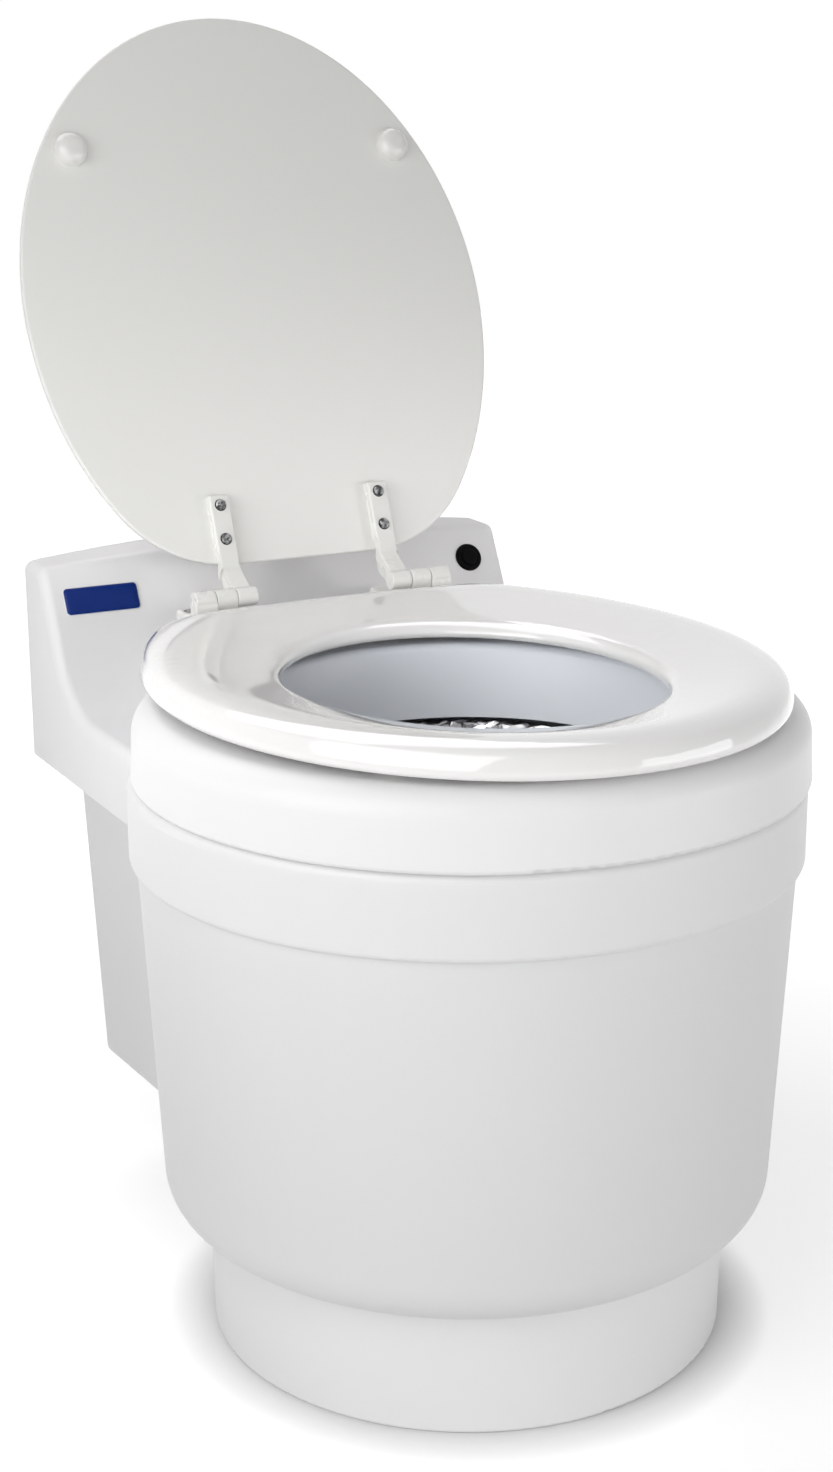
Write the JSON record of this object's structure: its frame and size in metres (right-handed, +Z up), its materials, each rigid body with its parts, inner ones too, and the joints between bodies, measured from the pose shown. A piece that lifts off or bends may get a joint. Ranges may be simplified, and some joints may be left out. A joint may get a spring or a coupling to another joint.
{
  "type": "portable toilet",
  "caption": "Portable dry toilet: round drum on a base, collar with rear housing, film-lined bowl on a driven turntable, hinged seat and lid, push button.",
  "frame": {"origin": "where the drum's axis meets the floor, on the underside of the floor pad", "axes": "+Z up, -Y towards the front of the seat, +X to the right as seen from the front"},
  "size_m": [0.3986, 0.5714, 0.7789],
  "materials": {
    "white_body": "semi-gloss moulded plastic",
    "seat_enamel": "gloss enamel on moulded wood",
    "lid_enamel": "satin enamel on moulded wood",
    "hinge_plastic": "semi-gloss",
    "bumper": "gloss",
    "grey_plastic": "satin",
    "inner_plastic": "matt",
    "black_plastic": "satin",
    "film": "metallised film",
    "zinc": "zinc plated",
    "board": "satin",
    "rubber": "matt"
  },
  "bodies": {
    "toilet": {"base_tub": "white_body", "floor_pad": "rubber", "drum_shell": "white_body", "collar_housing": "white_body", "service_box": "white_body", "rear_cover": "white_body", "cover_screws": "zinc", "charge_inlet": "black_plastic", "cap_ring": "white_body", "bowl_liner": "grey_plastic", "glide_pads": "inner_plastic", "support_deck": "grey_plastic", "motor_bracket": "zinc", "gear_motor": "zinc", "blower_scroll": "black_plastic", "blower_motor": "zinc", "vacuum_duct": "grey_plastic", "battery": "black_plastic", "battery_strap": "zinc", "control_board": "board", "button_bezel": "black_plastic", "button_nut": "black_plastic", "button_switch": "black_plastic", "hinge_posts": "hinge_plastic", "hinge_pins": "zinc", "hinge_bolts": "zinc", "hinge_nuts": "zinc"},
    "seat": {"seat_ring": "seat_enamel", "seat_arms": "hinge_plastic", "seat_screws": "zinc", "seat_bumpers": "bumper"},
    "lid": {"lid_panel": "lid_enamel", "lid_arms": "hinge_plastic", "lid_screws": "zinc", "lid_bumpers": "bumper"},
    "button": {"button_cap": "black_plastic"},
    "film_table": {"turntable": "inner_plastic", "film_cartridge": "grey_plastic", "film_pack": "film", "film_liner": "film", "film_tail": "film"},
    "pinion": {"drive_pinion": "inner_plastic"},
    "fan": {"blower_impeller": "black_plastic"}
  },
  "joints": [
    {"name": "lid_hinge", "type": "hinge", "parent": "toilet", "child": "lid", "pos_m": [0, 0.1956, 0.4183], "axis": [1, 0, 0], "range_deg": [0, 113.3]},
    {"name": "seat_hinge", "type": "hinge", "parent": "toilet", "child": "seat", "pos_m": [0, 0.1956, 0.4183], "axis": [1, 0, 0], "range_deg": [-113, 0]},
    {"name": "button_press", "type": "slide", "parent": "toilet", "child": "button", "axis": [0, 0.891, -0.454], "range_m": [0, 0.0025], "stiffness_N_per_m": 400, "springref_m": -0.002},
    {"name": "turntable_spin", "type": "hinge", "parent": "toilet", "child": "film_table", "pos_m": [0, 0, 0.241], "axis": [0, 0, 1], "continuous": true},
    {"name": "pinion_spin", "type": "hinge", "parent": "toilet", "child": "pinion", "pos_m": [0, 0.178, 0.241], "axis": [0, 0, 1], "continuous": true},
    {"name": "fan_spin", "type": "hinge", "parent": "toilet", "child": "fan", "pos_m": [-0.07895, 0.25, 0.165], "axis": [0, 1, 0], "continuous": true}
  ],
  "couplings": [
    {"joint": "pinion_spin", "follows": "turntable_spin", "ratio": -5.3571}
  ]
}
